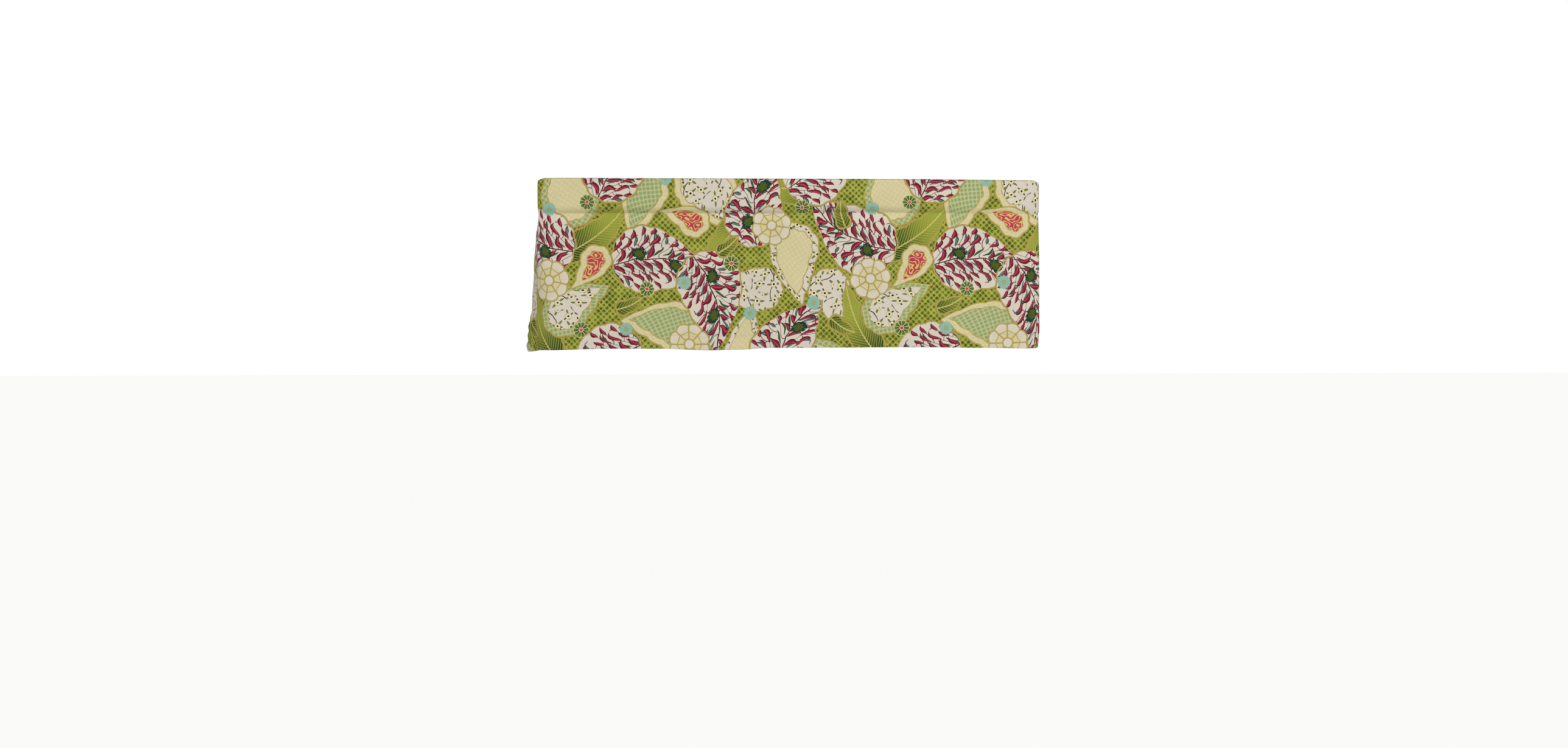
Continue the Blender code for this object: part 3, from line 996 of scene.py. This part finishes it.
def pale_fill(line, speck):
    """Pale yellow with a fainter lattice."""
    ground = mix(smooth(speck, *PALE_WASHES), "dccf96", "e4d9a8")
    return mix(smooth(line, *BROAD_LINE) * BROAD_LINE_STRENGTH, ground, "efe6c4")


def mint_fill(line, diamond):
    """Grey-green with a ring and a dot in each diamond."""
    ring = smooth(diamond, *MINT_RING_INSIDE) - smooth(diamond, *MINT_RING_OUTSIDE)
    ground = mix(ring, "b4bd7c", "8ba67c")
    dotted = mix(diamond < MINT_DOT, ground, "6a8f50")
    return mix(smooth(line, *BROAD_LINE), dotted, "d6d3a0")


def coral_fill(spot):
    """Coral with wandering gold curls."""
    curl = folded(mottle(spot, CORAL_CURLS_SCALE, 0.5) * CORAL_CURLS)
    return mix(smooth(curl, *CORAL_CURL_EDGE), "c63c58", "e4c66c")


def leaf_fill(x, y):
    """An olive leaf, darker at its base, with a light midrib and side veins."""
    base = mix(smooth(y, *LEAF_BASE), "35501a", "9da73a")
    vein = folded((y - abs(x) * VEIN_SLANT) / VEIN_PITCH)
    veined = mix(smooth(vein, *VEIN_EDGE), base, "bcb656")
    return mix(abs(x) < MIDRIB, veined, "d6c774")


# ---------------------------------------------------------------- the print's sprigs
SprigLeaf = namedtuple("SprigLeaf", "half start end")
SPRIG_PITCH = 0.029
SPRIG_SCATTER = 0.7
FULL_TURN = 6.28
SPRIG_TWIG = 0.0010  # half its breadth
SPRIG_TWIG_REACH = 0.0150
SPRIG_LEAF = SprigLeaf(0.0022, 0.0070, 0.0125)
SPRIG_BUD = SprigLeaf(0.0015, 0.0064, 0.0112)
BUD_ASKEW = 1.15  # from the leaves round to the buds, in radians
BLOSSOM = 0.0050
BLOSSOM_RIM = 0.0058
BLOSSOM_LOBE = 0.0012
BLOSSOM_HEART = 0.0022
BLOSSOM_TURNS = 2.5  # half of its five petals
TWIG_PITCH = 0.046
TWIG_WAVES = 75.0  # in radians a metre
TWIG_WAVE_HEIGHT = 0.16  # over the twigs' pitch
TWIG_HALF = 0.021  # half a twig's breadth, over the twigs' pitch
TWIG_BREAKS = 24.0
TWIG_SHOWN = (0.44, 0.46)


def wavy_twigs(spot):
    """Cream with dark wavy twigs that break off here and there."""
    east, north, _ = pieces(spot)
    wave = folded(north / TWIG_PITCH + reckon("SINE", east * TWIG_WAVES) * TWIG_WAVE_HEIGHT)
    dark = (wave < TWIG_HALF) * smooth(mottle(spot, TWIG_BREAKS), *TWIG_SHOWN)
    return mix(dark, CREAM, "241a1c")


def in_sprig_leaf(beside, out, leaf):
    """1 in either of two leaves that stand on opposite sides of a blossom."""
    return (beside < leaf.half) * (out < leaf.end) * (out > leaf.start)


def sprig_fill(spot):
    """Cream with dark wavy twigs and small pale blossoms, each with a dark heart, two leaves and two buds."""
    cream = wavy_twigs(spot)
    scaled = scale_vector(spot, 1 / SPRIG_PITCH)
    values = {"Vector": scaled, "Scale": 1.0, "Randomness": SPRIG_SCATTER}
    cell = add_node("ShaderNodeTexVoronoi", values, "Position")
    chance = pieces(Wire(cell.socket.node.outputs["Color"]))[0]
    x, y, _ = pieces(reckon_vector("SUBTRACT", scaled, cell))
    out = length(x, y) * SPRIG_PITCH
    angle = reckon("ARCTAN2", y, x) + chance * FULL_TURN
    beside = abs(reckon("SINE", angle)) * out
    askew = abs(reckon("SINE", angle + BUD_ASKEW)) * out
    leafy = mix((beside < SPRIG_TWIG) * (out < SPRIG_TWIG_REACH), cream, "3a2a26")
    leafy = mix(in_sprig_leaf(beside, out, SPRIG_LEAF), leafy, "77822f")
    leafy = mix(in_sprig_leaf(askew, out, SPRIG_BUD), leafy, "4a5524")
    petal = out + abs(reckon("COSINE", angle * BLOSSOM_TURNS)) * -BLOSSOM_LOBE
    ringed = mix(petal < BLOSSOM_RIM, leafy, "a89a4a")
    bloom = mix(petal < BLOSSOM, ringed, "f1e6bc")
    return mix(out < BLOSSOM_HEART, bloom, "2c1a26")


# ---------------------------------------------------------------- the print put together
SPECKS = 420.0  # the scale of the fine specks
ROUNDING = 0.01
GROUND_DEPTH = 1.0
# A round bloom's sizes, over its radius
OUTSIDE = 9.0  # where a spot outside every bloom is kept
PETAL_NOTCH = 0.82  # how far out its edge comes between two petals
PETAL_REACH = 0.17  # how much further at a petal's middle
PETAL_SHADE = (0.3, 0.9)
PETAL_LINE = 0.016
PETAL_RIM = 0.07
INNER_RING = 0.58
INNER_RING_HALF = 0.020  # half its breadth
INNER_RING_WAVER = 0.06
HEART_RIM = 0.27
HEART = 0.20
# Unevenness
BRUSH = (130.0, 0.0022)  # of the printed edges: its scale and how far it moves them
WASHES = ((18.0, 3.0), (260.0, 2.0))  # of the dye, broad and fine: each one's scale and detail
WASH = 0.10


def drop_colours(best, inset):
    """The fills, borders and outlines of the drops, and the olive ground between them."""
    x, y, kind = pieces(best)
    inside = reckon("FLOOR", kind + ROUNDING)
    border = (kind - inside) * BORDER_CODE
    code = mix_number(inset < BORDER, inside, border)
    spot = vector(x, y)
    speck = mottle(spot, SPECKS, 1.0)
    line, diamond = lattice_lines(x, y)
    tint = sprig_fill(spot)
    tint = mix(is_kind(code, SPRAY), tint, spray_fill(x, y))
    tint = mix(is_kind(code, OLIVE), tint, olive_fill(spot, line, diamond, speck))
    tint = mix(is_kind(code, PALE), tint, pale_fill(line, speck))
    tint = mix(is_kind(code, MINT), tint, mint_fill(line, diamond))
    tint = mix(is_kind(code, CORAL), tint, coral_fill(spot))
    tint = mix(is_kind(code, LEAF), tint, leaf_fill(x, y))
    two_fills = abs(inside - border) > 0.5
    banded = (abs(inset - BORDER) < BORDER_LINE / 2) * two_fills
    tint = mix(banded, tint, GOLD)
    tint = mix(inset < OUTLINE, tint, GOLD)
    return mix(inset < OUTLINE_RIM, tint, GOLD_DARK)


def bloom_colours(best, under):
    """Round blooms: cream with gold lines, small aqua ones and green ones with a coral heart."""
    x, y, petals = pieces(best)
    out = length(x, y)
    swing = abs(reckon("COSINE", reckon("ARCTAN2", y, x) * petals * 0.5))
    edge = reckon("SQRT", swing) * PETAL_REACH + PETAL_NOTCH - out
    cream, aqua, green = (is_kind(petals, kind) for kind in (CREAM_PETALS, AQUA_PETALS, GREEN_PETALS))
    shade = smooth(out, *PETAL_SHADE)
    petal = mix(aqua, mix(shade, "e0d5a4", CREAM), "a2c6b0")
    petal = mix(green, petal, mix(shade, "2f4d1a", "71882e"))
    lines = mix(green, mix(aqua, GOLD, "7fb09c"), "e6dcaf")
    heart = mix(green, mix(aqua, CREAM, "b9b458"), "cf5544")
    between = swing * out / petals < PETAL_LINE
    inner = abs(out - INNER_RING + swing * INNER_RING_WAVER) < INNER_RING_HALF
    drawn = mix(reckon("MAXIMUM", between, inner * cream), petal, lines)
    drawn = mix(edge < PETAL_RIM, drawn, lines)
    drawn = mix(out < HEART_RIM, drawn, lines)
    drawn = mix(out < HEART, drawn, heart)
    return mix(edge > 0.0, under, drawn)


def print_group():
    """The whole print as one colour, from the place on the flat cloth."""
    group, (flat,) = new_group("print", ("Flat", "Vector"))
    spot = reckon_vector("ADD", wobble(flat, *BRUSH), (*TILE_SHIFT, 0.0))
    x, y, _ = pieces(spot)
    # The ground under the drops is olive, and too deep inside its own edge for a border or an outline
    best, inset = vector(x, y, OLIVE + OLIVE / BORDER_CODE), x * 0.0 + GROUND_DEPTH
    one_drop = drop_group()
    for row in DROPS:
        values = {
            "Spot": spot, "Centre": (row.x, row.y, 0.0), "Turn": math.radians(row.turn), "Wide": row.wide,
            "Reach": row.reach, "Bend": row.bend, "Kind": row.inside + row.border / BORDER_CODE,
            "Best": best, "Inset": inset,
        }
        best, inset = use_group(one_drop, **values)
    under = drop_colours(best, inset)
    bloom = vector(x * 0.0 + OUTSIDE, OUTSIDE, CREAM_PETALS)
    one_bloom = bloom_group()
    for row in BLOOMS:
        values = {
            "Spot": spot, "Centre": (row.x, row.y, 0.0), "Turn": math.radians(row.turn),
            "Size": row.radius, "Kind": float(row.petals), "Best": bloom,
        }
        (bloom,) = use_group(one_bloom, **values)
    tint = bloom_colours(bloom, under)
    broad, fine = (mottle(flat, *wash) * WASH for wash in WASHES)
    return close_group(group, ("Color", "Color", scale_vector(tint, broad + fine + (1 - WASH))))


# ---------------------------------------------------------------- the finishes
THREAD_FINE = 900.0
THREAD_LONG = 60.0
WEAVE_HEIGHT = 0.00012
WEAVE_BUMP = 0.6
THREAD_SHADE = 0.16
PATCH_SHADE = 0.06  # broad patches that are a little lighter or darker
PATCHES = (9.0, 3.0)  # their noise's scale and detail
DARKEST = 0.89
ROUGHNESS = 0.72
THREAD_ROUGHNESS = 0.2
COTTON_SHEEN = 0.03
SHOW_THROUGH = 0.24  # how much of the print shows on the wrong side
FOLD_PAINTED_SHADE = 0.40  # painted shade: how much darker the top fold's crest is painted, in place of its shading
FOLD_PAINTED_SHADE_REACH = (0.0050, 0.0090)  # how far from the fold's crest the painted shade starts and stops fading out
FOLD_PAINTED_SHADE_UNEVEN = 0.002
FOLD_PAINTED_SHADE_SCALE = 60.0
PLY_SCALE = 2500.0
PLY_HEIGHT = 0.0001
STITCH_ROUGHNESS = 0.6
STITCH_SHEEN = 0.1


def weave_group():
    """Plain-woven cotton: uneven threads both ways, as a height and as a lighter and darker shade."""
    group, (flat,) = new_group("weave", ("Flat", "Vector"))
    warp = mottle(reckon_vector("MULTIPLY", flat, (THREAD_FINE, THREAD_LONG, 1.0)), 1.0, 1.0)
    weft = mottle(reckon_vector("MULTIPLY", flat, (THREAD_LONG, THREAD_FINE, 1.0)), 1.0, 1.0)
    height = (warp + weft) * 0.5
    shade = height * THREAD_SHADE + mottle(flat, *PATCHES) * PATCH_SHADE + DARKEST
    return close_group(group, ("Height", "Float", height), ("Shade", "Float", shade))


def cloth_place(material):
    """The place on the flat cloth, from the cloth's own UV map."""
    return add_node("ShaderNodeUVMap", {}, "UV", tree=material.node_tree, uv_map="Cloth")


def finish_cloth(shader, tint, height, shade):
    """Matt cotton: the colour with its threads' shade, a dry roughness and the weave's bump."""
    put(shader.inputs["Base Color"], scale_vector(tint, shade))
    put(shader.inputs["Roughness"], height * THREAD_ROUGHNESS + ROUGHNESS)
    bump = add_node("ShaderNodeBump", {"Height": height, "Distance": WEAVE_HEIGHT, "Strength": WEAVE_BUMP})
    put(shader.inputs["Normal"], bump)


def printed_face(printed, weave):
    """The printed side, with painted shade along the top fold."""
    material, shader = new_material("printed_face", COTTON_SHEEN)
    flat = cloth_place(material)
    (tint,) = use_group(printed, Flat=flat)
    height, shade = use_group(weave, Flat=flat)
    # Painted shade: the colour is darkened along the top fold's crest, where shading would fall
    from_crest = abs(pieces(flat)[1]) + mottle(flat, FOLD_PAINTED_SHADE_SCALE) * FOLD_PAINTED_SHADE_UNEVEN
    painted_shade = (1.0 - smooth(from_crest, *FOLD_PAINTED_SHADE_REACH)) * FOLD_PAINTED_SHADE
    finish_cloth(shader, tint, height, shade * (1.0 - painted_shade))
    return material


def wrong_side(printed, weave):
    """The unprinted side, where the colours only show through."""
    material, shader = new_material("wrong_side", COTTON_SHEEN)
    flat = cloth_place(material)
    (tint,) = use_group(printed, Flat=flat)
    bare = mix(SHOW_THROUGH, "e9e2d4", tint)
    finish_cloth(shader, bare, *use_group(weave, Flat=flat))
    return material


def sewing_thread():
    """Cotton thread in an uneven olive grey."""
    material, shader = new_material("sewing_thread", STITCH_SHEEN)
    shader.inputs["Roughness"].default_value = STITCH_ROUGHNESS
    place = add_node("ShaderNodeTexCoord", {}, "Object", tree=material.node_tree)
    ply = mottle(place, PLY_SCALE, 1.0)
    put(shader.inputs["Base Color"], mix(ply, "978f66", "b3aa80"))
    put(shader.inputs["Normal"], add_node("ShaderNodeBump", {"Height": ply, "Distance": PLY_HEIGHT}))
    return material


# ---------------------------------------------------------------- stitches
STITCH_PITCH = 0.0029
STITCH_LENGTH = 0.0023
STITCH_THICK = 0.00036
STITCH_LIFT = CLOTH / 2 + 0.00010  # from a layer's middle to a stitch's
LINE_END = 0.0030  # from the cloth's edge to a line's first stitch
LINE_STEP = 0.004  # between the points that a line is laid through
EDGE_LINE = 0.0025  # from a hem's inner fold to its stitches


def stitch_template():
    """One stitch along X: a short round bead of thread, narrower at its ends."""
    bpy.ops.object.select_all(action="DESELECT")
    bpy.ops.mesh.primitive_uv_sphere_add(segments=6, ring_count=4, radius=0.5, calc_uvs=False)
    stitch = bpy.context.active_object
    stitch.rotation_euler = (0, math.pi / 2, 0)
    stitch.scale = (STITCH_THICK, STITCH_THICK, STITCH_LENGTH)
    bpy.ops.object.transform_apply(location=False, rotation=True, scale=True)
    bead = stitch.data
    bpy.data.objects.remove(stitch)
    return bead


def sewn_line(points):
    """The middle and the heading of each stitch along a line of points."""
    places = [0.0]
    for start, end in zip(points, points[1:]):
        places.append(places[-1] + (end - start).length)
    count = int((places[-1] - 2 * LINE_END) / STITCH_PITCH)
    spots, index = [], 0
    for number in range(count):
        place = LINE_END + (number + 0.5) * STITCH_PITCH
        while places[index + 1] < place:
            index += 1
        share = (place - places[index]) / (places[index + 1] - places[index])
        heading = points[index + 1] - points[index]
        spots.append((points[index] + heading * share, heading.normalized()))
    return spots


def make_stitches(name, lines, thread):
    """All the stitches of some sewn lines, as copies of one bead."""
    bead = stitch_template()
    bm = bmesh.new()
    for line in lines:
        for middle, heading in sewn_line(line):
            start = len(bm.verts)
            bm.from_mesh(bead)
            bm.verts.ensure_lookup_table()
            turn = heading.to_track_quat("X", "Z").to_matrix()
            for vertex in bm.verts[start:]:
                vertex.co = middle + turn @ vertex.co
    mesh = bpy.data.meshes.new(name)
    bm.to_mesh(mesh)
    bm.free()
    mesh.shade_smooth()
    stitches = bpy.data.objects.new(name, mesh)
    bpy.context.collection.objects.link(stitches)
    stitches.data.materials.append(thread)
    return stitches


def steps_between(start, end):
    return spaced(start, end, round(abs(end - start) / LINE_STEP)) + [end]


def pocket_lines():
    """The seam under the pocket, on the front and on the back."""
    hangs = [Hang(run) for run in steps_between(-HALF_RUN, HALF_RUN)]
    front = [hang.point(hang.front_depth(hang.seam) - STITCH_LIFT, hang.seam) for hang in hangs]
    back = [hang.point(hang.back_depth(hang.seam) + STITCH_LIFT, hang.seam) for hang in hangs]
    return front, back


def hem_lines():
    """The bottom hem's stitches, on the front and on the back."""
    front, back = [], []
    for run in steps_between(-HALF_RUN, HALF_RUN):
        hang = Hang(run)
        height = hang.hem + HEM_BAND - EDGE_LINE
        depth = hang.front_depth(height)
        front.append(hang.point(depth - STITCH_LIFT, height))
        back.append(hang.point(depth + 2 * hang.hem_radius + STITCH_LIFT, height))
    return front, back


def side_lines(side):
    """A side hem's stitches, on the front up to the rod and on the back up to the seam."""
    hang = Hang(side * (HALF_RUN - SIDE_BAND + EDGE_LINE))
    outside = steps_between(hang.hem, hang.top - HALF_POCKET)
    inside = steps_between(hang.hem + HEM_BAND, hang.seam - TUCK_DROP)
    front = [hang.point(hang.front_depth(height) - STITCH_LIFT, height) for height in outside]
    back = [hang.point(hang.front_depth(height) + 2 * LAYER + STITCH_LIFT, height) for height in inside]
    return front, back


# ---------------------------------------------------------------- camera, light and floor
CAMERA_PLACE = (-0.1215, -2.8123, -0.2597)
CAMERA_YAW = math.radians(2.2)
CAMERA_PITCH = math.radians(3.2)
CAMERA_LENS = 30.10
SENSOR = 36.0
FLOOR_HEIGHT = -2.1
FLOOR_SIZE = 60.0
FAR_CLIP = 200.0
WORLD_LIGHT = 0.19
WHITE = colour("ffffff")
FLOOR_SHOWN = colour("fafaf9")
FLOOR_LIT = colour("b4b3b0")
FLOOR_ROUGHNESS = 0.9

Softbox = namedtuple("Softbox", "name place target size power")
SOFTBOXES = (
    Softbox("key_light", (3.0, -6.0, 6.8), (0, 0, -0.2), 2.5, 572),
    Softbox("side_light", (-6.4, -2.2, -0.3), (0, 0, -0.2), 2.5, 130),
    Softbox("low_light", (2.4, -2.2, -1.0), (0, 0, -0.3), 1.0, 16),
    Softbox("back_light", (0.6, 5.6, 3.2), (0, 0, -0.2), 3.0, 330),
)


def set_camera():
    data = bpy.data.cameras.new("camera")
    data.lens = CAMERA_LENS
    data.sensor_width = SENSOR
    data.sensor_fit = "HORIZONTAL"
    data.clip_end = FAR_CLIP
    camera = bpy.data.objects.new("camera", data)
    camera.location = CAMERA_PLACE
    camera.rotation_euler = (math.pi / 2 - CAMERA_PITCH, 0.0, -CAMERA_YAW)
    bpy.context.collection.objects.link(camera)
    bpy.context.scene.camera = camera


def add_softbox(box):
    data = bpy.data.lights.new(box.name, "AREA")
    data.shape = "SQUARE"
    data.size = box.size
    data.energy = box.power
    light = bpy.data.objects.new(box.name, data)
    light.location = box.place
    light.rotation_euler = (Vector(box.target) - Vector(box.place)).to_track_quat("-Z", "Y").to_euler()
    light.visible_camera = False
    bpy.context.collection.objects.link(light)


def show_and_light(tree, shown, lit, end):
    """Shows the camera one shader, and lights the scene with another."""
    path = tree.nodes.new("ShaderNodeLightPath")
    choice = tree.nodes.new("ShaderNodeMixShader")
    tree.links.new(path.outputs["Is Camera Ray"], choice.inputs["Fac"])
    tree.links.new(lit, choice.inputs[1])
    tree.links.new(shown, choice.inputs[2])
    tree.links.new(choice.outputs["Shader"], end)


def set_world():
    """White to the camera, and a faint light on the scene."""
    world = bpy.data.worlds.new("studio")
    world.use_nodes = True
    bpy.context.scene.world = world
    tree = world.node_tree
    shown = tree.nodes["Background"]
    lit = tree.nodes.new("ShaderNodeBackground")
    for background, strength in ((shown, 1.0), (lit, WORLD_LIGHT)):
        background.inputs["Color"].default_value = WHITE
        background.inputs["Strength"].default_value = strength
    end = tree.nodes["World Output"].inputs["Surface"]
    show_and_light(tree, shown.outputs["Background"], lit.outputs["Background"], end)


def set_light():
    for box in SOFTBOXES:
        add_softbox(box)
    set_world()
    bpy.context.scene.view_settings.view_transform = "Standard"


def pale_floor():
    """A matt floor that looks nearly white, and throws back no more light than a grey one."""
    material, shader = new_material("pale_floor", 0.0)
    shader.inputs["Roughness"].default_value = FLOOR_ROUGHNESS
    shader.inputs["Base Color"].default_value = FLOOR_LIT
    tree = material.node_tree
    shown = tree.nodes.new("ShaderNodeEmission")
    shown.inputs["Color"].default_value = FLOOR_SHOWN
    end = tree.nodes["Material Output"].inputs["Surface"]
    show_and_light(tree, shown.outputs["Emission"], shader.outputs["BSDF"], end)
    return material


def make_floor():
    bpy.ops.object.select_all(action="DESELECT")
    bpy.ops.mesh.primitive_plane_add(size=FLOOR_SIZE, location=(0, 0, FLOOR_HEIGHT))
    floor = bpy.context.active_object
    floor.name = "floor"
    floor.data.materials.append(pale_floor())


def main():
    set_camera()
    set_light()
    make_floor()
    cloth, flat = make_cloth()
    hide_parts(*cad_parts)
    thread = sewing_thread()
    stitches = [
        make_stitches("pocket_stitches", pocket_lines(), thread),
        make_stitches("hem_stitches", hem_lines(), thread),
        make_stitches("side_stitches", side_lines(-1) + side_lines(1), thread),
    ]
    for piece in [cloth] + stitches:
        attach(piece, "root")


main()
